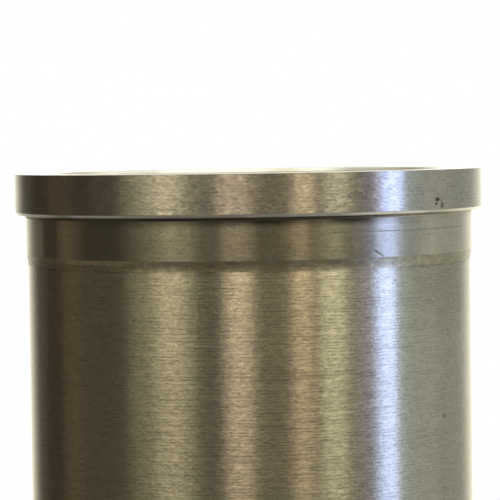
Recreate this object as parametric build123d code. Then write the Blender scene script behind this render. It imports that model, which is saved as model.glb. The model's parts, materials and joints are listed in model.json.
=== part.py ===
"""Flanged wet cylinder liner for a diesel engine, turned from one cast iron sleeve.

The liner stands on its lower end. The origin is the centre of that end face, and +Z runs up the
bore towards the flange. Lengths are millimetres.

The whole piece is one half-section turned about Z. Every radius is built outwards from the bore:
bore, wall, relieved body, the two locating lands that stand proud of it, and the flange.
"""

import os

from build123d import *

# ------------------------------------------------------------------------- driving dimensions
# Bore and length
bore_diameter = 105.0  # honed running surface for the piston
liner_length = 225.0  # lower end face to top face
wall_thickness = 7.7  # bore to relieved body, in the length that the coolant wets

# Flange that hangs the liner in the block
flange_thickness = 11.0  # top face to seat
flange_overhang = 2.9  # how far the flange stands out from the upper land
flange_lower_chamfer = 0.8  # 45 degrees, round the seat's outer edge
flange_top_break = 0.2  # deburred top edge
seat_fillet_radius = 0.8  # root between the seat and the upper land

# Upper locating land, just under the flange
upper_land_rise = 0.4  # how far the land stands out from the body
upper_land_length = 10.8  # seat to the start of the runout
upper_runout_length = 2.7  # hollow run from the land down to the body

# Lower locating land, at the crankcase end
lower_land_rise = 0.2  # less than the upper land's, so that it passes through the top of the block
lower_land_length = 34.0
lower_runout_length = 1.8
lead_in_length = 4.0  # taper that slips past the block's seals
lead_in_depth = 1.2

# Mouths of the bore
bore_top_chamfer = 1.2
bore_bottom_chamfer = 1.5

# ------------------------------------------------------------------------- radii and heights
bore_radius = bore_diameter / 2
body_radius = bore_radius + wall_thickness
upper_land_radius = body_radius + upper_land_rise
lower_land_radius = body_radius + lower_land_rise
flange_radius = upper_land_radius + flange_overhang

seat_z = liner_length - flange_thickness
upper_land_end_z = seat_z - upper_land_length
body_top_z = upper_land_end_z - upper_runout_length
lower_land_top_z = lead_in_length + lower_land_length
body_bottom_z = lower_land_top_z + lower_runout_length


def outside_from_below():
    """Outside of the half-section, from the lower end face up to the top face."""
    lead_in_start = (lower_land_radius - lead_in_depth, 0)
    lower_land_bottom = (lower_land_radius, lead_in_length)
    lower_land_top = (lower_land_radius, lower_land_top_z)
    body_bottom = (body_radius, body_bottom_z)
    body_top = (body_radius, body_top_z)
    land_end = (upper_land_radius, upper_land_end_z)
    fillet_start = (upper_land_radius, seat_z - seat_fillet_radius)
    fillet_end = (upper_land_radius + seat_fillet_radius, seat_z)
    seat_edge = (flange_radius - flange_lower_chamfer, seat_z)
    flange_bottom = (flange_radius, seat_z + flange_lower_chamfer)
    flange_top = (flange_radius, liner_length - flange_top_break)
    top_edge = (flange_radius - flange_top_break, liner_length)

    Polyline(lead_in_start, lower_land_bottom, lower_land_top, body_bottom, body_top)
    # The tool leaves the body on a long hollow arc, tangent to it, and breaks out at the land
    TangentArc(body_top, land_end, tangent=(0, 1))
    Line(land_end, fillet_start)
    TangentArc(fillet_start, fillet_end, tangent=(0, 1))
    Polyline(fillet_end, seat_edge, flange_bottom, flange_top, top_edge)
    return lead_in_start, top_edge


def inside_from_above(lower_outside_corner, upper_outside_corner):
    """Top face, bore with its two mouths, and lower end face, which close the half-section."""
    Polyline(
        upper_outside_corner,
        (bore_radius + bore_top_chamfer, liner_length),
        (bore_radius, liner_length - bore_top_chamfer),
        (bore_radius, bore_bottom_chamfer),
        (bore_radius + bore_bottom_chamfer, 0),
        lower_outside_corner,
    )


def cylinder_liner():
    """The liner: its half-section turned once about the bore's axis."""
    with BuildPart() as liner:
        with BuildSketch(Plane.XZ):
            with BuildLine():
                lower_corner, upper_corner = outside_from_below()
                inside_from_above(lower_corner, upper_corner)
            make_face()
        revolve(axis=Axis.Z)
    return liner.part


os.makedirs("parts", exist_ok=True)
export_step(cylinder_liner(), "parts/cylinder_liner.step")
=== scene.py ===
# %% [markdown]
# # A wet cylinder liner in cast iron
#
# The liner is one iron sleeve: it is cast as a tube, turned outside, ground where it locates in the
# block, and honed inside. It has no joints and no second piece, so the whole lesson is about one
# surface: where its edges run, and how each way of cutting the same iron looks different.

# %% Load the CAD frame
import json

import bpy
import numpy as np
from mathutils import Euler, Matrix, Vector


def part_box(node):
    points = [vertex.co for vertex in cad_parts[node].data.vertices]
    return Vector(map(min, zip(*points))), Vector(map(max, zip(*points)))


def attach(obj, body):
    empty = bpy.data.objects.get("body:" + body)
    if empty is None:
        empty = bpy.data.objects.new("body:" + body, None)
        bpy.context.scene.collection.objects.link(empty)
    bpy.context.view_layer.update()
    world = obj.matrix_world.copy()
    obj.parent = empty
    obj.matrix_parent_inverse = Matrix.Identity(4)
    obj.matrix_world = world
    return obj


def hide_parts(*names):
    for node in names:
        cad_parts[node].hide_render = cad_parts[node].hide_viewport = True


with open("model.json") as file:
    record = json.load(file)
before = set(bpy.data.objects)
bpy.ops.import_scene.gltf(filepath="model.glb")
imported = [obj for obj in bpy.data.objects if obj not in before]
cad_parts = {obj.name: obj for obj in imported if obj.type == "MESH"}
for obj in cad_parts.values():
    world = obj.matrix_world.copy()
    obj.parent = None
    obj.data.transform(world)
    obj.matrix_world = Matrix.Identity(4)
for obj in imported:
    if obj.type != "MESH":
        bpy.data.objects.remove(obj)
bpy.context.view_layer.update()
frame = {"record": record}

# %% [markdown]
# ## Sizes
#
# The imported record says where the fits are: the bore, the two locating lands and the faces. Taking
# the radii and heights from there keeps the looks on the CAD's sizes. The small features that no
# fit names, such as chamfers and runouts, are written here in millimetres. Blender works in
# metres, so the mesh is scaled once, at the end.

# %% Read the fits
MM = 0.001

mounts = {mount["name"]: mount for mount in frame["record"]["mounts"]}


def fit_radius(name):
    """Radius of a bore or pin mount, in millimetres."""
    return mounts[name]["dims"]["r_mm"]


def fit_height(name):
    """Height of a mount's point above the lower end face, in millimetres."""
    return mounts[name]["pos_m"][2] / MM


_, box_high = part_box("cylinder_liner")
bore_radius = fit_radius("piston_bore")
upper_land_radius = fit_radius("upper_land")
lower_land_radius = fit_radius("lower_land")
flange_radius = box_high[0] / MM
top_z = fit_height("top_face")
seat_z = fit_height("flange_seat")
print("bore", bore_radius, "lands", upper_land_radius, lower_land_radius, "flange", flange_radius)
print("seat", seat_z, "top", top_z)

# %% Name the small features
body_radius = 60.2
flange_chamfer = 0.8
top_break = 0.12
seat_fillet = 0.8
upper_land_length = 10.8
runout_length = 2.7
runout_arc = 9.0  # radius of the hollow that the tool leaves between the body and the land
land_end_z = seat_z - upper_land_length
body_top_z = land_end_z - runout_length
runout_corner_z = land_end_z - 1.32  # where the tangents of the hollow meet
body_bottom_z = 39.8
lower_land_top_z = 38.0
lead_in_z = 4.0
lead_in_radius = 59.2
bore_top_chamfer = 1.2
bore_bottom_chamfer = 1.5
burr_round = 0.1  # what deburring leaves on an edge that looks sharp

# %% [markdown]
# ## The half-section
#
# Turned work is a half-section spun about the axis. Drawing the section as a list of corners, each
# with its own round, is how a turner's drawing gives it. A corner's round is an arc tangent to both
# of its sides. Blender shades a smooth mesh by averaging the faces round a vertex, which would
# bend the light on a flat next to an arc, so each flat also gets a row of vertices very close to
# its ends. That keeps flats flat and edges crisp, with no bevel modifier.

# %% Corner list
# Each corner: radius, height, round, rows in the round, finish of the face that follows it
section = [
    (lead_in_radius, 0.0, burr_round, 3, "ground"),
    (lower_land_radius, lead_in_z, 0.4, 3, "ground"),
    (lower_land_radius, lower_land_top_z, burr_round, 3, "runout"),
    (body_radius, body_bottom_z, 2.0, 4, "turned"),
    (body_radius, runout_corner_z, runout_arc, 8, "runout"),
    (upper_land_radius, land_end_z, burr_round, 3, "ground"),
    (upper_land_radius, seat_z, seat_fillet, 8, "root"),
    (flange_radius - flange_chamfer, seat_z, 0.15, 5, "chamfer"),
    (flange_radius, seat_z + flange_chamfer, 0.25, 5, "rim"),
    (flange_radius, top_z, top_break, 5, "faced"),
    (bore_radius + bore_top_chamfer, top_z, burr_round, 3, "mouth"),
    (bore_radius, top_z - bore_top_chamfer, burr_round, 3, "honed"),
    (bore_radius, bore_bottom_chamfer, burr_round, 3, "mouth"),
    (bore_radius + bore_bottom_chamfer, 0.0, burr_round, 3, "faced"),
]
finish_names = ["turned", "ground", "rim", "chamfer", "faced", "mouth", "honed", "runout", "root"]
print(len(section), "corners")


# %% Round the corners
def unit(vector):
    """The vector divided by its length."""
    return vector / np.linalg.norm(vector)


def corner_round(before, corner, after, radius, rows):
    """Points of the arc that is tangent to both sides of a corner.

    With half the turn h between the sides, the arc starts radius * tan(h) before the corner. Its
    centre lies radius to the side that the path turns to, and the point at angle t round it is
    start + radius * (sin t * along + (1 - cos t) * across).
    """
    along = unit(corner - before)
    onward = unit(after - corner)
    turn = np.arccos(np.clip(along @ onward, -1, 1))
    start = corner - along * radius * np.tan(turn / 2)
    across = unit(onward - along * (along @ onward))
    t = np.linspace(0, turn, rows)[:, None]
    return start + radius * (np.sin(t) * along + (1 - np.cos(t)) * across)


corners = np.array([row[:2] for row in section])
before = np.roll(corners, 1, axis=0)
after = np.roll(corners, -1, axis=0)
arcs = [
    corner_round(b, c, a, row[2], row[3])
    for b, c, a, row in zip(before, corners, after, section)
]
print("arc rows", sum(len(arc) for arc in arcs))

# %% [markdown]
# ## Rows where the marks are
#
# The liner has been handled: the flange's rim has two pits and a nick, the upper land a slanting
# scratch and two lines from a lifted tool, the body a small pit. These are real hollows, so the
# mesh needs rows and columns close together just there, and it can stay coarse elsewhere. The close
# ones have to reach past a mark's raised lip: one vertex of the lip on a long quad beside the mark
# would draw a streak down the whole quad.

# %% Heights with extra rows, in millimetres
fine_rows = np.concatenate(
    [
        seat_z + np.arange(0.90, 4.60, 0.1),  # the rim's pits and nick
        land_end_z + np.arange(0.15, 2.30, 0.12),  # the land's scratch
        land_end_z + np.arange(6.40, 6.85, 0.06),  # the right tool line
        land_end_z + np.arange(7.60, 8.05, 0.06),  # the left tool line
        body_top_z + np.arange(-41.1, -38.3, 0.14),  # the body's pit
    ]
)
hugging = 0.03  # how close a flat's end rows lie to its arcs
upright = 0.999  # a flat whose direction has at least this much of +Z gets the extra rows


def flat_rows(start, end):
    """Rows of vertices on the flat from one arc's end to the next arc's start.

    One row lies a short way inside each end, and on upright outside flats the fine rows between.
    """
    along = unit(end - start)
    length = np.linalg.norm(end - start)
    steps = np.array([hugging, length - hugging])
    if along[1] > upright:
        extra = fine_rows[(fine_rows > start[1] + 0.1) & (fine_rows < end[1] - 0.1)]
        steps = np.sort(np.concatenate([steps, extra - start[1]]))
    elif length < 3 * hugging:
        steps = np.zeros(0)
    return start + steps[:, None] * along


points, finishes = [], []
for i, arc in enumerate(arcs):
    flat = flat_rows(arc[-1], arcs[(i + 1) % len(arcs)][0])
    rows = np.concatenate([arc, flat])
    points.append(rows)
    finishes += [finish_names.index(section[i][4])] * len(rows)

half_section = np.concatenate(points)
band_finish = np.array(finishes)
print("rows", len(half_section))

# %% Angles of the columns, in degrees from the front, rising to the right
columns = np.arange(-180.0, 180.0, 1.0)
windows = {
    "the rim's pits and nick": np.arange(48.0, 53.2, 0.10),
    "the land's scratch": np.arange(30.2, 34.4, 0.11),
    "the body's pit": np.arange(54.2, 58.8, 0.16),
}
clearance = 0.3  # degrees kept free between a window and the columns round it


def refined(angles, window):
    """The angles with those inside the window's span replaced by the window's own."""
    kept = (angles < window[0] - clearance) | (angles > window[-1] + clearance)
    return np.sort(np.concatenate([angles[kept], window]))


for window in windows.values():
    columns = refined(columns, window)
print("columns", len(columns), "quads", len(columns) * len(half_section))

# %% [markdown]
# ## Spinning the section, with the marks pressed in
#
# Every vertex is radius * (sin a, -cos a) and its height. A mark only changes the radius, by an
# amount that depends on the distance along the rim and the distance up, so it is one formula on
# the whole grid. A pit is a bell-shaped hollow with a low raised lip, as metal is pushed up round
# a dent. A scratch is a narrow valley along a line between two points. Grime sits in the hollows,
# so each mark also leaves a number at its vertices, which the finishes read as dirt.

# %% Grid of radius and height
radius = np.repeat(half_section[:, :1], len(columns), axis=1)
height = np.repeat(half_section[:, 1:], len(columns), axis=1)
angle = np.repeat(columns[None, :], len(half_section), axis=0)
around = np.radians(angle) * radius  # millimetres along the rim, from the front
outside = radius > 0.5 * (bore_radius + body_radius)
lip_place, lip_width, lip_share = 1.6, 0.35, 1 / 6  # two in half widths, one of the depth
fading = 6.0  # degrees over which a tool line begins and ends
steep = 2.2  # how fast dirt fills a hollow: it is full from 1 / steep of the greatest depth


def pit(angle_deg, z, wide, tall, depth):
    """Bell-shaped hollow with a raised lip.

    With d the distance from its middle in half widths, its depth is depth * exp(-d^2), less a
    sixth of the depth * exp(-((d - lip_place) / lip_width)^2).
    """
    away = around - np.radians(angle_deg) * radius
    d2 = (away / (wide / 2)) ** 2 + ((height - z) / (tall / 2)) ** 2
    lip = np.exp(-(((np.sqrt(d2) - lip_place) / lip_width) ** 2))
    return depth * (np.exp(-d2) - lip_share * lip)


def scratch(start, end, wide, depth, taper=0.5):
    """Valley along the line from start to end, each (degrees, height).

    With s the share of the way along and d the distance from the line, its depth is
    depth * exp(-(d / half width)^2), fading at both ends over the taper.
    """
    ax, az = np.radians(start[0]) * radius, start[1]
    bx, bz = np.radians(end[0]) * radius, end[1]
    long2 = (bx - ax) ** 2 + (bz - az) ** 2
    s = ((around - ax) * (bx - ax) + (height - az) * (bz - az)) / long2
    d = np.abs((around - ax) * (bz - az) - (height - az) * (bx - ax)) / np.sqrt(long2)
    ends = np.clip(s / taper + 0.5, 0, 1) * np.clip((1 - s) / taper + 0.5, 0, 1)
    return depth * np.exp(-((d / (wide / 2)) ** 2)) * ends


def tool_line(z, from_deg, to_deg, wide, depth):
    """Shallow groove round part of the land, fading out at both ends.

    With d the height above its middle in half widths, its depth is depth * exp(-d^2).
    """
    ends = np.clip((angle - from_deg) / fading, 0, 1) * np.clip((to_deg - angle) / fading, 0, 1)
    return depth * ends * np.exp(-(((height - z) / (wide / 2)) ** 2))


nick = scratch((51.25, seat_z + 3.75), (51.60, seat_z + 1.60), 0.30, 0.05)
slanting = scratch((30.7, land_end_z + 2.0), (33.8, land_end_z + 0.35), 0.42, 0.02)

# Each: hollow in millimetres, and how dark the dirt in it is, from 0 to 1
marks = {
    "rim pit": (pit(49.70, seat_z + 3.35, 1.50, 0.90, 0.08), 0.80),
    "rim pit, small": (pit(49.30, seat_z + 2.25, 1.00, 0.60, 0.05), 0.62),
    "rim nick": (nick, 0.45),
    "rim nick foot": (pit(51.62, seat_z + 1.80, 1.20, 1.25, 0.05), 0.55),
    "land scratch": (slanting, 0.36),
    "land scratch, burr": (pit(31.95, land_end_z + 1.35, 0.90, 0.60, 0.02), 0.45),
    "land tool line, left": (tool_line(land_end_z + 7.8, -46, 18, 0.20, 0.003), 0.0),
    "land tool line, right": (tool_line(land_end_z + 6.62, 18, 70, 0.22, 0.003), 0.35),
    "body pit": (pit(56.45, body_top_z - 39.7, 1.70, 0.85, 0.04), 0.42),
}
stain = np.zeros_like(radius)
for name, (hollow, dirt) in marks.items():
    hollow = np.where(outside, hollow, 0)
    radius = radius - hollow
    stain = np.maximum(stain, dirt * np.clip(steep * hollow / hollow.max(), 0, 1))
    print(f"{name}: {hollow.max():.3f} mm deep")


# %% Make the mesh
def lathe_mesh(name, radius, height, columns, band_finish, stain):
    """Closed surface of revolution from grids of radius and height.

    Row i and column j make vertex i * columns + j. Each quad joins two rows and two columns, and
    the last row and the last column join the first, so the skin has no seam and no pole. The dirt
    in the marks goes with it, as one number a vertex.
    """
    turn = np.radians(columns)[None, :]
    vertices = np.stack([radius * np.sin(turn), -radius * np.cos(turn), height], axis=-1)
    rows, cols = radius.shape
    i = np.arange(rows)[:, None]
    j = np.arange(cols)[None, :]
    up, right = (i + 1) % rows, (j + 1) % cols
    quads = np.stack(
        [i * cols + j, i * cols + right, up * cols + right, up * cols + j], axis=-1
    ).reshape(-1, 4)

    mesh = bpy.data.meshes.new(name)
    mesh.vertices.add(rows * cols)
    mesh.vertices.foreach_set("co", (vertices * MM).reshape(-1))
    mesh.loops.add(quads.size)
    mesh.loops.foreach_set("vertex_index", quads.reshape(-1).astype(np.int32))
    mesh.polygons.add(len(quads))
    mesh.polygons.foreach_set("loop_start", np.arange(0, quads.size, 4, dtype=np.int32))
    mesh.polygons.foreach_set("material_index", np.repeat(band_finish, cols).astype(np.int32))
    mesh.update(calc_edges=True)
    mesh.validate()
    mesh.shade_smooth()
    mesh.attributes.new("stain", "FLOAT", "POINT").data.foreach_set("value", stain.reshape(-1))
    return mesh


liner_mesh = lathe_mesh("turned_sleeve", radius, height, columns, band_finish, stain)
liner = bpy.data.objects.new("turned_sleeve", liner_mesh)
bpy.context.scene.collection.objects.link(liner)
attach(liner, "root")
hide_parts("cylinder_liner")
print(len(liner_mesh.vertices), "vertices,", 2 * len(liner_mesh.polygons), "triangles")

# %% [markdown]
# ## Writing shader maths as plain sums
#
# A finish is a chain of small nodes. Wired by hand they are hard to read, so this small class wraps
# a socket and lets + - * / build the Math nodes. The same graph class also adds any other node from
# its type, its settings and the values or links of its sockets.


# %% Small classes that build the nodes
class Wire:
    """A value socket that can be used in sums with numbers and other wires."""

    def __init__(self, graph, socket):
        self.graph = graph
        self.socket = socket

    def _math(self, operation, *values):
        return self.graph.node("Math", {"operation": operation}, *values).out()

    def __add__(self, other):
        return self._math("ADD", self, other)

    def __radd__(self, other):
        return self._math("ADD", other, self)

    def __sub__(self, other):
        return self._math("SUBTRACT", self, other)

    def __rsub__(self, other):
        return self._math("SUBTRACT", other, self)

    def __mul__(self, other):
        return self._math("MULTIPLY", self, other)

    def __rmul__(self, other):
        return self._math("MULTIPLY", other, self)

    def __truediv__(self, other):
        return self._math("DIVIDE", self, other)

    def __abs__(self):
        return self._math("ABSOLUTE", self)

    def ramp(self, low, high):
        """Smooth step from 0 at low to 1 at high, where low may be the larger of the two."""
        settings = {"interpolation_type": "SMOOTHSTEP"}
        return self.graph.node("MapRange", settings, self, low, high, 0.0, 1.0).out()

    def between(self, starts, full, fades, ends):
        """1 from full to fades, 0 before starts and after ends, with smooth steps."""
        return self.ramp(starts, full) * self.ramp(ends, fades)


class Built:
    """A node that has been added, whose outputs are read by name or number."""

    def __init__(self, graph, node):
        self.graph = graph
        self.node = node

    def out(self, name=0):
        """The output of that name or number."""
        return Wire(self.graph, self.node.outputs[name])


class Graph:
    """A material's or world's node tree."""

    def __init__(self, tree):
        self.tree = tree
        tree.nodes.clear()

    def node(self, kind, settings=None, *values, **named):
        """Adds a shader node: its type, its settings, then its sockets in order or by name."""
        node = self.tree.nodes.new("ShaderNode" + kind)
        for key, value in (settings or {}).items():
            setattr(node, key, value)
        sockets = [s for s in node.inputs if s.enabled]
        for socket, value in zip(sockets, values):
            self.feed(socket, value)
        for name, value in named.items():
            self.feed(node.inputs[name.replace("_", " ")], value)
        return Built(self, node)

    def feed(self, socket, value):
        """Links a wire to the socket, or sets the socket to a number, a colour or a vector."""
        if isinstance(value, Wire):
            self.tree.links.new(value.socket, socket)
        elif value is not None:
            if isinstance(value, tuple) and len(value) == 3 and socket.type == "RGBA":
                value = (*value, 1.0)
            socket.default_value = value

    def mix(self, factor, first, second):
        """Colour that goes from first to second as the factor goes from 0 to 1."""
        node = self.tree.nodes.new("ShaderNodeMix")
        node.data_type = "RGBA"
        for name, value in (("Factor_Float", factor), ("A_Color", first), ("B_Color", second)):
            socket = next(s for s in node.inputs if s.identifier == name)
            self.feed(socket, value)
        output = next(s for s in node.outputs if s.identifier == "Result_Color")
        return Wire(self, output)

    def scaled(self, vector, factor):
        """Vector or colour times a number or a vector."""
        if isinstance(factor, tuple):
            return self.node("VectorMath", {"operation": "MULTIPLY"}, vector, factor).out()
        return self.node("VectorMath", {"operation": "SCALE"}, vector, Scale=factor).out()

    def noise(self, vector, detail=2.0, roughness=0.5):
        """Fractal noise, mostly between 0.3 and 0.7, in a space already scaled."""
        named = {"Scale": 1.0, "Detail": detail, "Roughness": roughness}
        return self.node("TexNoise", None, Vector=vector, **named).out("Fac")


# %% [markdown]
# ## One iron, many cuts
#
# Bare grey iron is a warm grey metal. What changes from face to face is the lay of the cut. Every
# groove of turning, grinding or facing runs round the axis, so it spreads a reflection along the
# axis and hardly at all round it. Two things do that here. The Principled shader's anisotropy
# stands for the grooves too fine to see: it is turned a quarter so that the wide side of the
# reflection stands upright. The grooves that can be seen lean the surface's normal up or down and
# never sideways, so the upright bands that the cylinder mirrors stay straight.
#
# A pattern is built from three kinds of noise: streaks drawn out round the axis, dead level dashes
# that change from one ring to the next, and hairlines with a clean gap between them. All finishes
# share one base and differ in their colour, roughness, grooves and how patchy they are. Masks across
# the front paint shade and highlights into several finishes, and lighter and darker bands into the
# land.

# %% Shared iron shader
IRON = (0.500, 0.480, 0.405)
RIM_IRON = (0.494, 0.478, 0.436)  # a little greyer: handling has rubbed it clean
RUNOUT_IRON = (0.520, 0.478, 0.362)  # a little browner: nothing rubs it clean
ROOT_IRON = (0.46, 0.40, 0.30)  # browner still: old oil stays in the corner
PER_MM = 1 / MM
RING_APART = 3.7  # how far apart two rings lie in the noise, so that they look unrelated


class Iron(Graph):
    """Node tree of one finish. Positions inside it are in millimetres."""

    def __init__(self, name):
        self.material = bpy.data.materials.new(name)
        self.material.use_nodes = True
        super().__init__(self.material.node_tree)
        place = self.node("TexCoord").out("Object")
        self.place = self.scaled(place, (PER_MM, PER_MM, PER_MM))
        parts = self.node("SeparateXYZ", None, self.place)
        self.x, self.y, self.z = parts.out("X"), parts.out("Y"), parts.out("Z")
        self.stain = self.node("Attribute", {"attribute_name": "stain"}).out("Fac")

    def streaks(self, long, tall, detail=2.0, roughness=0.5):
        """Noise drawn out round the axis: long millimetres round, tall millimetres up."""
        space = self.scaled(self.place, (1 / long, 1 / long, 1 / tall))
        return self.noise(space, detail, roughness)

    def ring_noise(self, ring, long, detail):
        """Noise that changes round the axis, and is another one on each ring."""
        space = self.node("CombineXYZ", None, self.x / long, self.y / long, ring * RING_APART).out()
        return self.noise(space, detail)

    def whole(self, value):
        """The value rounded down."""
        return self.node("Math", {"operation": "FLOOR"}, value).out()

    def rings(self, long, tall, detail=1.0):
        """Dashes that are dead level, as tall as a ring, between -0.5 and 0.5."""
        return self.ring_noise(self.whole(self.z / tall), long, detail) - 0.5

    def hairlines(self, pitch, long, fewest, most):
        """Level hairlines, one a turn of the tool, broken into dashes: 1 on a line, 0 off it."""
        turns = self.z / pitch
        ring = self.whole(turns)
        line = (turns - ring).between(0.22, 0.50, 0.50, 0.78)
        return line * self.ring_noise(ring, long, 1.0).ramp(fewest, most)

    def tilted(self, tilt):
        """The surface's normal leaned up or down by a small tilt: N + tilt * Z, made unit long."""
        normal = self.node("NewGeometry").out("Normal")
        lean = self.node("CombineXYZ", None, 0.0, 0.0, tilt).out()
        leaned = self.node("VectorMath", {"operation": "ADD"}, normal, lean).out()
        return self.node("VectorMath", {"operation": "NORMALIZE"}, leaned).out()

    def finish(self, tone, relief, roughness, anisotropy, colour=IRON, tilt=None):
        """Joins colour * tone, the relief in millimetres and the roughness to the shader.

        A quarter turn of the anisotropy spreads reflections up and down. The tilt is what each
        groove's flank adds: it leans the surface up or down, and never sideways.
        """
        named = {"Strength": 1.0, "Distance": MM, "Height": relief}
        if tilt is not None:
            named["Normal"] = self.tilted(tilt)
        bump = self.node("Bump", None, **named).out()
        shader = self.node(
            "BsdfPrincipled",
            None,
            Base_Color=self.scaled(colour, tone * (1 - self.stain)),
            Metallic=1.0,
            Roughness=roughness + 0.4 * self.stain,
            Anisotropic=anisotropy,
            Anisotropic_Rotation=0.25,
            Normal=bump,
        ).out()
        self.node("OutputMaterial", None, shader)
        return self.material


# %% [markdown]
# ### Turned body
#
# The body is left as turned, with a feed of about 0.8 mm. Each pass of the tool leaves a shallow
# groove, and the iron tears a little, so short dashes of rough and smooth metal lie along the
# grooves, with a fine speckle where graphite flakes were pulled out. At the top the turning blends
# into the runout with a frayed edge, and on the right painted shade darkens it below that edge.

# %% Turned finish
FEED = 0.82


def turned_iron():
    """Grooves, dashes and specks, with a frayed end at the top and painted shade on the right."""
    iron = Iron("turned_iron")
    dashes = iron.rings(1.4, FEED / 2, 2.0)
    lines = iron.rings(9.0, FEED / 2, 0.0)
    grooves = iron.hairlines(FEED, 3.0, 0.46, 0.56)
    tears = iron.hairlines(0.62 * FEED, 1.4, 0.52, 0.56)
    mottle = iron.streaks(1.6, 1.1, 1.0) - 0.5
    grain = iron.streaks(0.45, 0.40, 1.0) - 0.5
    bands = iron.streaks(26.0, 2.5, 1.0) - 0.5
    smear = iron.streaks(3.0, 1.2, 2.0)

    fuzzy = (iron.z + 2.2 * smear).ramp(body_top_z + 0.2, body_top_z + 1.6)
    cuts = 0.21 * grooves + 0.22 * tears
    marks = 0.16 * dashes + 0.14 * lines + 0.50 * grain + 0.12 * bands + 0.16 * mottle
    # Painted shade on the right, below the top of the body.
    painted_shade_right = iron.x.ramp(38.0, 45.0) * iron.z.ramp(body_top_z - 22.0, body_top_z - 4.0)
    tone = (1.075 + marks - cuts) * (1 - 0.35 * fuzzy) * (1 - 0.14 * painted_shade_right)
    relief = 0.012 * mottle + 0.010 * grain
    tilt = 0.12 * dashes + 0.06 * lines - 0.02 * grooves
    roughness = 0.24 + 0.04 * mottle
    return iron.finish(tone, relief, roughness, anisotropy=0.85, tilt=tilt)


# %% [markdown]
# ### Ground lands, flange rim and runout
#
# Grinding leaves finer, longer lines than turning, and a smoother face that mirrors the room more
# clearly. The land gets painted shade with some grime under the flange, painted shade across the
# front that leaves its two edges lighter, and upright bands, lighter at the far left edge and in one
# place, darker in others. The rim of the flange has been handled more, so it is blotched and carries
# short level cuts; across the front it gets a painted highlight in one place and painted shade in
# others. The runout is where the tool left the work: it is rougher, and its upper edge catches the
# light on the left. The root above the land is a corner painted dark with shade and old oil.


# %% Ground, rim, runout and root finishes
def ground_iron():
    """Fine level lines under grime and painted shade, painted shade across the front and upright
    bands.
    """
    iron = Iron("ground_land_iron")
    lines = iron.rings(5.0, 0.40, 1.0)
    dashes = iron.rings(1.3, 0.42, 2.0)
    hairs = iron.hairlines(1.1, 3.0, 0.52, 0.62)
    patches = iron.streaks(3.6, 5.0, 2.0) - 0.5
    grain = iron.streaks(0.55, 0.45, 1.0) - 0.5
    in_front = iron.x.between(-50.0, -20.0, 22.0, 46.0)
    deepest = iron.x.between(-16.0, -4.0, 6.0, 16.0)
    right_of_front = iron.x.between(18.0, 23.0, 28.0, 34.0)
    # Grime and painted shade under the flange; the shade is strongest across the front.
    shade_and_grime_by_x = 0.10 + 0.42 * in_front + 0.26 * deepest + 0.34 * right_of_front
    shade_and_grime = (iron.z + 0.8 * patches).ramp(seat_z - 3.0, seat_z - 0.9) * shade_and_grime_by_x

    # Painted shade across the front of the land, fading out towards both sides.
    painted_front_shade = 0.31 * iron.x.ramp(47.5, 41.0) + 0.15 * iron.x.ramp(33.0, 29.5)
    painted_front_shade = painted_front_shade * iron.x.ramp(-48.0, -40.0)

    # Upright bands: lighter at the far left edge and left of the front, darker in four places.
    light_band_far_left = iron.x.between(-57.5, -56.0, -54.6, -53.2)
    dark_band_far_left = iron.x.between(-54.0, -53.0, -50.5, -49.0)
    dark_band_left = iron.x.between(-36.0, -32.0, -22.0, -19.0)
    light_band_left_of_front = iron.x.between(-18.0, -15.0, -10.5, -8.0)
    dark_band_front = iron.x.between(-6.0, -3.0, 3.0, 5.5)
    dark_band_right = iron.x.between(13.5, 16.0, 24.5, 27.5)
    upright_bands = 0.15 * dark_band_left + 0.17 * dark_band_front + 0.24 * dark_band_right + 0.20 * dark_band_far_left
    upright_bands = upright_bands - 0.22 * light_band_left_of_front - 0.35 * light_band_far_left

    marks = 0.16 * lines + 0.26 * dashes + 0.30 * patches + 0.34 * grain - 0.16 * hairs
    tone = (1.18 + marks) * (1 - shade_and_grime) * (1 - painted_front_shade) * (1 - upright_bands)
    tilt = 0.026 * lines + 0.034 * dashes
    roughness = 0.18 + 0.03 * iron.x.ramp(-46.0, -38.0)
    return iron.finish(tone, 0.006 * patches, roughness, anisotropy=0.0, tilt=tilt)


def rim_iron():
    """Blotches and level cuts, with a painted highlight and patches of painted shade across the
    front.
    """
    iron = Iron("flange_rim_iron")
    smudges = iron.streaks(4.0, 3.0, 3.0, 0.6) - 0.5
    blots = iron.streaks(0.9, 0.7, 1.0) - 0.5
    dashes = iron.rings(1.3, 0.42, 2.0)
    lines = iron.rings(4.0, 0.42, 1.0)
    cuts = iron.hairlines(0.84, 1.6, 0.52, 0.58)
    place = iron.x + 3.0 * smudges
    # Painted highlight in one place and painted shade in three, on the front half only.
    painted_highlight_patch = place.between(-14.4, -12.6, -8.0, -6.0)
    painted_shade_patches = place.between(-6.0, -3.5, 0.0, 3.0)
    painted_shade_patches = painted_shade_patches + place.between(15.5, 18.5, 30.0, 32.5)
    painted_shade_patches = painted_shade_patches + 0.8 * place.between(-52.0, -49.0, -40.5, -38.0)
    in_front = iron.y.ramp(0.0, -10.0)
    worn = 0.75 + 0.35 * iron.streaks(6.0, 5.0, 1.0).ramp(0.38, 0.62)
    marks = 0.30 * blots + 0.26 * dashes + 0.12 * lines - 0.24 * cuts
    tone = 0.99 + 0.34 * smudges + worn * marks
    tone = tone * (1 + (0.60 * painted_highlight_patch - 0.28 * painted_shade_patches) * in_front)
    tilt = worn * (0.20 * dashes + 0.06 * lines)
    roughness = 0.24 + 0.05 * smudges
    relief = 0.002 * blots
    return iron.finish(tone, relief, roughness, anisotropy=0.85, colour=RIM_IRON, tilt=tilt)


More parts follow.
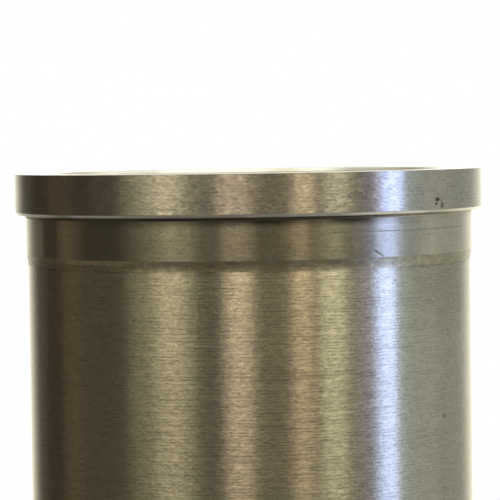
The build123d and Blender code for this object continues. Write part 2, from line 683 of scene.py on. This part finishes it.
def runout_iron():
    """Rough and patchy, a little darker in front, with its upper edge lit on the left."""
    iron = Iron("runout_iron")
    lines = iron.rings(6.0, 0.41, 1.0)
    patches = iron.streaks(2.4, 1.1, 2.0) - 0.5
    blots = iron.streaks(0.9, 0.6, 1.0) - 0.5
    in_front = iron.x.between(-48.0, -20.0, 26.0, 46.0)
    deepest = iron.x.between(-21.0, -14.0, 6.0, 13.0)
    edge = iron.z.ramp(land_end_z - 1.35, land_end_z - 1.05)
    lit_edge = edge * iron.x.between(-54.0, -46.0, -40.0, -20.0)
    tone = 0.88 + 0.30 * lines + 0.80 * patches + 0.50 * blots
    tone = tone * (1 - 0.10 * in_front - 0.14 * deepest) * (1 + 0.50 * lit_edge)
    tilt = 0.10 * lines + 0.10 * blots
    relief = 0.010 * patches
    return iron.finish(tone, relief, 0.30, anisotropy=0.5, colour=RUNOUT_IRON, tilt=tilt)


def root_iron():
    """Painted shade with old oil: dark in front, lighter where the fillet opens out and towards the
    right.
    """
    iron = Iron("seat_root_iron")
    patches = iron.streaks(20.0, 20.0, 1.0)
    in_front = iron.x.between(-50.0, -20.0, 22.0, 46.0)
    out = iron.z.ramp(seat_z - 0.1, seat_z - seat_fillet)
    # Painted shade in the corner under the flange, darkest in front and at the far left, with some
    # old oil.
    tone = (0.12 + 0.25 * patches + 0.35 * out) * (1 - 0.55 * in_front)
    tone = tone * (1 + 1.2 * iron.x.ramp(30.0, 44.0)) * (1 - 0.5 * iron.x.ramp(-54.0, -58.0))
    return iron.finish(tone, relief=0.0, roughness=0.36, anisotropy=0.3, colour=ROOT_IRON)


# %% [markdown]
# ### Chamfers, faced ends and honed bore
#
# The chamfers and end faces are cut in one pass and are brighter. On the end faces the grooves are
# circles, so the noise is drawn out by the distance from the axis. The bore is honed: two sets of
# fine scratches cross at a flat angle. In a frame that turns about the axis as it rises, such a
# scratch is an upright line, so the position is rotated by an angle that grows with height.


# %% Chamfer, mouth, faced and honed finishes
def chamfer_iron():
    """One-pass rings, with painted shade at the lower edge and in two places, and painted highlights
    to both sides.
    """
    iron = Iron("chamfer_iron")
    rings = iron.streaks(16.0, 0.16, 1.0)
    patches = iron.streaks(3.0, 1.2, 2.0)
    # Painted shade at the lower edge, in the middle of the front and at the far left; painted
    # highlights to the left and right.
    lower = iron.z.ramp(seat_z + 0.30, seat_z)
    left = iron.x.between(-53.5, -50.0, -46.0, -40.0)
    shaded = iron.x.between(1.0, 6.0, 22.0, 27.0)
    bright = (1 + 0.50 * iron.x.ramp(22.0, 40.0)) * (1 + 0.35 * left)
    bright = bright * (1 - 0.72 * iron.x.ramp(-53.0, -57.0)) * (1 - 0.32 * shaded)
    tone = (0.76 + 0.14 * rings + 0.30 * patches) * (1 - 0.60 * lower) * bright
    return iron.finish(tone, relief=0.002 * rings, roughness=0.22, anisotropy=0.4)


def mouth_iron():
    """One-pass rings, with soot low on the upper mouth's chamfer."""
    iron = Iron("bore_mouth_iron")
    rings = iron.streaks(20.0, 0.2, 1.0)
    patches = iron.streaks(9.0, 3.0, 2.0)
    sooty = 0.45 * iron.z.ramp(top_z - 0.55, top_z - 1.15)
    tone = (0.80 + 0.16 * rings + 0.30 * patches) * (1 - sooty)
    return iron.finish(tone, relief=0.002 * rings, roughness=0.26, anisotropy=0.4)


def faced_iron():
    """Circular grooves: the noise is drawn out along circles, by the distance from the axis."""
    iron = Iron("faced_end_iron")
    out = iron.node("Math", {"operation": "SQRT"}, iron.x * iron.x + iron.y * iron.y).out()
    space = iron.node("CombineXYZ", None, iron.x / 9.0, iron.y / 9.0, out / 0.22).out()
    rings = iron.noise(space, 2.0)
    patches = iron.streaks(8.0, 8.0, 2.0)
    tone = 0.50 + 0.36 * rings + 0.24 * patches
    return iron.finish(tone, 0.006 * rings, roughness=0.24 + 0.08 * patches, anisotropy=0.6)


HONE_LEAN = 28.0  # degrees that each set of scratches rises from level
HONE_GRAIN = (1 / 0.34, 1 / 0.34, 1 / 9.0)  # a scratch is a third of a millimetre by nine


def honed_iron():
    """Two crossing sets of drawn-out noise, with dark valleys where either one peaks."""
    iron = Iron("honed_bore_iron")
    rate = 1 / (bore_radius * np.tan(np.radians(HONE_LEAN)))
    sets = []
    for sense in (1, -1):
        turn = iron.z * (sense * rate)
        spun = iron.node("VectorRotate", {"rotation_type": "Z_AXIS"}, iron.place, Angle=turn).out()
        sets.append(iron.noise(iron.scaled(spun, HONE_GRAIN), 2.0, 0.6))
    hatch = sets[0] + sets[1]
    valleys = sets[0].ramp(0.60, 0.70) + sets[1].ramp(0.60, 0.70)
    tone = 1.20 + 0.80 * (hatch - 1) - 0.36 * valleys
    relief = 0.010 * hatch - 0.010 * valleys
    return iron.finish(tone, relief, roughness=0.56, anisotropy=0.0)


# %% Give each band of the sleeve its finish
finishes_by_name = {
    "turned": turned_iron(),
    "ground": ground_iron(),
    "rim": rim_iron(),
    "chamfer": chamfer_iron(),
    "faced": faced_iron(),
    "mouth": mouth_iron(),
    "honed": honed_iron(),
    "runout": runout_iron(),
    "root": root_iron(),
}
for name in finish_names:
    liner_mesh.materials.append(finishes_by_name[name])
print("finishes", ", ".join(m.name for m in liner_mesh.materials))

# %% [markdown]
# ## Camera
#
# A long lens, less than a finger's width above the liner's top face, so that the open top shows
# only as a sliver. The frame takes in the flange and the upper part of the body. The camera looks a
# little down, and it is not quite level, so the rings rise to the right.

# %% Place the camera
eye_distance = 650.0  # from the axis, in millimetres
eye_above_top = 7.13
pitch_down = 2.540  # degrees
yaw = -0.023
roll = -0.865

camera_data = bpy.data.cameras.new("long_lens")
camera_data.lens = 171.34
camera_data.sensor_width = 36.0
camera = bpy.data.objects.new("camera", camera_data)
camera.location = (0.0, -eye_distance * MM, (top_z + eye_above_top) * MM)
look = Euler((np.radians(90.0 - pitch_down), 0.0, np.radians(yaw)), "XYZ").to_matrix()
lean = Euler((0.0, 0.0, np.radians(roll)), "XYZ").to_matrix()
camera.rotation_euler = (look @ lean).to_euler("XYZ")
bpy.context.scene.collection.objects.link(camera)
bpy.context.scene.camera = camera
bpy.context.scene.view_settings.view_transform = "Standard"

# %% [markdown]
# ## Floor and lamp
#
# The liner stands on a pale disc. To the camera the disc fades into the white round it, well
# outside the shadow, so it reads as a seamless sweep. One large soft lamp gives the shadow a side.

# %% Floor disc
floor_radius = 0.26  # metres, as are the fade's two ends
fade_starts, fade_ends = 0.13, 0.245
floor_rings, floor_spokes = 64, 128

turn = np.linspace(0, 2 * np.pi, floor_spokes, endpoint=False)
reach = np.linspace(0, floor_radius, floor_rings + 1)[1:, None]
flat = np.zeros((floor_rings, floor_spokes))
floor_points = np.stack([reach * np.cos(turn), reach * np.sin(turn), flat], axis=-1).reshape(-1, 3)
ring = np.arange(floor_rings - 1)[:, None] * floor_spokes
spoke = np.arange(floor_spokes)[None, :]
onward = (spoke + 1) % floor_spokes
wider = ring + floor_spokes
floor_quads = np.stack([ring + spoke, wider + spoke, wider + onward, ring + onward], axis=-1)
floor_faces = floor_quads.reshape(-1, 4).tolist() + [list(range(floor_spokes))]
floor_mesh = bpy.data.meshes.new("floor")
floor_mesh.from_pydata(floor_points.tolist(), [], floor_faces)
floor = bpy.data.objects.new("floor", floor_mesh)
bpy.context.scene.collection.objects.link(floor)

# %% Floor paint
# The metal mirrors another floor than the camera sees, dark on the left and pale on the right
SEEN_FLOOR = (0.70, 0.70, 0.69)
MIRRORED_LEFT = (0.36, 0.35, 0.32)
MIRRORED_RIGHT = (0.85, 0.85, 0.82)

paint = bpy.data.materials.new("pale_floor")
paint.use_nodes = True
tree = Graph(paint.node_tree)
spot = tree.node("TexCoord").out("Object")
away = tree.node("VectorMath", {"operation": "LENGTH"}, spot).out("Value")
across = tree.node("SeparateXYZ", None, spot).out("X")
seen = tree.node("LightPath").out("Is Camera Ray")
mirrored = tree.mix(across.ramp(-0.05, 0.10), MIRRORED_LEFT, MIRRORED_RIGHT)
matt = tree.node("BsdfDiffuse", None, tree.mix(seen, mirrored, SEEN_FLOOR)).out()
white = tree.node("Emission", None, (1.0, 1.0, 1.0), 1.0).out()
fade = away.ramp(fade_starts, fade_ends) * seen
tree.node("OutputMaterial", None, tree.node("MixShader", None, fade, matt, white).out())
floor_mesh.materials.append(paint)

# %% Soft lamp, kept out of the metal's reflections
lamp_data = bpy.data.lights.new("soft_lamp", "AREA")
lamp_data.shape = "DISK"
lamp_data.size = 0.7
lamp_data.energy = 1.2
lamp = bpy.data.objects.new("soft_lamp", lamp_data)
lamp.location = (-0.5, -0.6, 0.9)
lamp.rotation_euler = Euler((np.radians(45.0), 0.0, np.radians(-40.0)), "XYZ")
lamp.visible_glossy = False
lamp.visible_camera = False
bpy.context.scene.collection.objects.link(lamp)

# %% [markdown]
# ## The room that the metal mirrors
#
# Bare metal is only as good as what it reflects. A polished cylinder squeezes the whole room into
# upright bands, so the room here is a ring of soft boxes and dark flags, stood round the table as
# in a studio. Each is given by the compass angle of its middle: 0 is at the camera, 90 to the
# right, 180 behind the liner. Two small cards, a violet and a green one, tint the edges next
# to the window's cold band. The boxes stand on a darker floor, so each fades out round eye level.
# Behind the liner the room is near white, which draws the bright line down both of its sides, and
# over it hangs a pale ceiling with one greyer card. Only glossy rays see all this. The camera sees
# white, and matt surfaces get an even light.

# %% World
# Each: middle, half width, softness of its sides (degrees), colour
boxes = {
    "warm box, left": (-40.8, 7.8, 12, (1.43, 1.26, 0.875)),
    "warm box, centre": (-5.7, 6.5, 6, (1.66, 1.37, 0.99)),
    "warm box, near right": (26.4, 4.5, 6, (1.66, 1.34, 0.87)),
    "pale box, right": (43, 7, 6, (1.78, 1.66, 1.15)),
    "violet card": (60.5, 3, 5, (0.68, 0.58, 0.66)),
    "green card": (86.5, 3.5, 6, (0.51, 0.60, 0.56)),
    "window": (73.2, 6.2, 3.5, (2.06, 2.53, 4.20)),
}
# Each: the angle at which it begins, the softness of that edge, colour
walls = {
    "back of the flag": (-180, 1, (0.100, 0.088, 0.062)),
    "flag, far left": (-131, 8, (0.062, 0.043, 0.028)),
    "curtain, left": (-112, 6, (0.130, 0.097, 0.056)),
    "wall, left": (-96, 8, (0.092, 0.075, 0.047)),
    "wall, left of front": (-62, 14, (0.54, 0.49, 0.33)),
    "gap, left of the centre": (-27, 5, (0.16, 0.142, 0.102)),
    "wall, front": (-3, 4, (0.31, 0.26, 0.17)),
    "wall, right of front": (52, 5, (0.60, 0.56, 0.41)),
    "wall, right": (84, 6, (0.53, 0.54, 0.47)),
    "wall, far right": (112, 10, (0.44, 0.45, 0.39)),
}
DARK_FLOOR = (0.11, 0.095, 0.065)  # in front of the liner, as the metal mirrors it
BEHIND = (1.20, 1.16, 0.95)  # past the liner's sides
EDGE_GLARE = (2.0, 2.0, 1.9)  # a narrow band on each side of what is straight behind
STRAIGHT_BEHIND = (1.40, 1.38, 1.26)
UPPER_FRONT = (0.24, 0.22, 0.18)
UPPER_REAR_LEFT = (1.00, 1.00, 0.88)
UPPER_REAR_RIGHT = (1.80, 1.80, 1.70)
CEILING = (2.50, 2.50, 2.35)
CEILING_CARD = (1.60, 1.56, 1.36)
MATT_LIGHT = (0.88, 0.88, 0.88)
DEGREES = 180 / np.pi


def lit_room():
    """World shader: white to the camera, even to matt surfaces, the ring of boxes to gloss."""
    world = bpy.data.worlds.new("studio")
    world.use_nodes = True
    bpy.context.scene.world = world
    tree = Graph(world.node_tree)
    way = tree.node("SeparateXYZ", None, tree.node("TexCoord").out("Generated"))
    x, y, z = way.out("X"), way.out("Y"), way.out("Z")
    compass = tree.node("Math", {"operation": "ARCTAN2"}, x, 0.0 - y).out() * DEGREES
    rise = tree.node("Math", {"operation": "ARCSINE"}, z).out() * DEGREES

    colour = (0.0, 0.0, 0.0)
    for begins, soft, wall in walls.values():
        colour = tree.mix(compass.ramp(begins - soft / 2, begins + soft / 2), colour, wall)
    for middle, half, soft, light in boxes.values():
        inside = abs(compass - middle).ramp(half + soft / 2, half - soft / 2)
        colour = tree.mix(inside, colour, light)

    below = rise.ramp(2.0, -7.0)
    front = compass.between(-80, -55, 62, 86)
    colour = tree.scaled(colour, (1 - 0.10 * below) * (1 + 0.45 * rise.ramp(4.0, 16.0) * front))
    colour = tree.mix(0.95 * below * front, colour, DARK_FLOOR)

    colour = tree.mix(abs(compass + 2.0).ramp(137, 168), colour, BEHIND)
    colour = tree.mix(abs(compass).ramp(165, 173), colour, EDGE_GLARE)
    colour = tree.mix(abs(compass).ramp(174, 178), colour, STRAIGHT_BEHIND)

    rear = tree.mix(compass.ramp(-20, 20), UPPER_REAR_LEFT, UPPER_REAR_RIGHT)
    upper = tree.mix(abs(compass).ramp(95, 125), UPPER_FRONT, rear)
    colour = tree.mix(rise.ramp(32, 42), colour, upper)
    card = x.between(-0.28, -0.23, -0.13, -0.08)
    colour = tree.mix(rise.ramp(58, 66), colour, tree.mix(card, CEILING, CEILING_CARD))

    path = tree.node("LightPath")
    seen = tree.mix(path.out("Is Glossy Ray"), MATT_LIGHT, colour)
    seen = tree.mix(path.out("Is Camera Ray"), seen, (1.0, 1.0, 1.0))
    tree.node("OutputWorld", None, tree.node("Background", None, seen, 1.0).out())


lit_room()
print("room of", len(boxes), "lights and", len(walls), "walls")
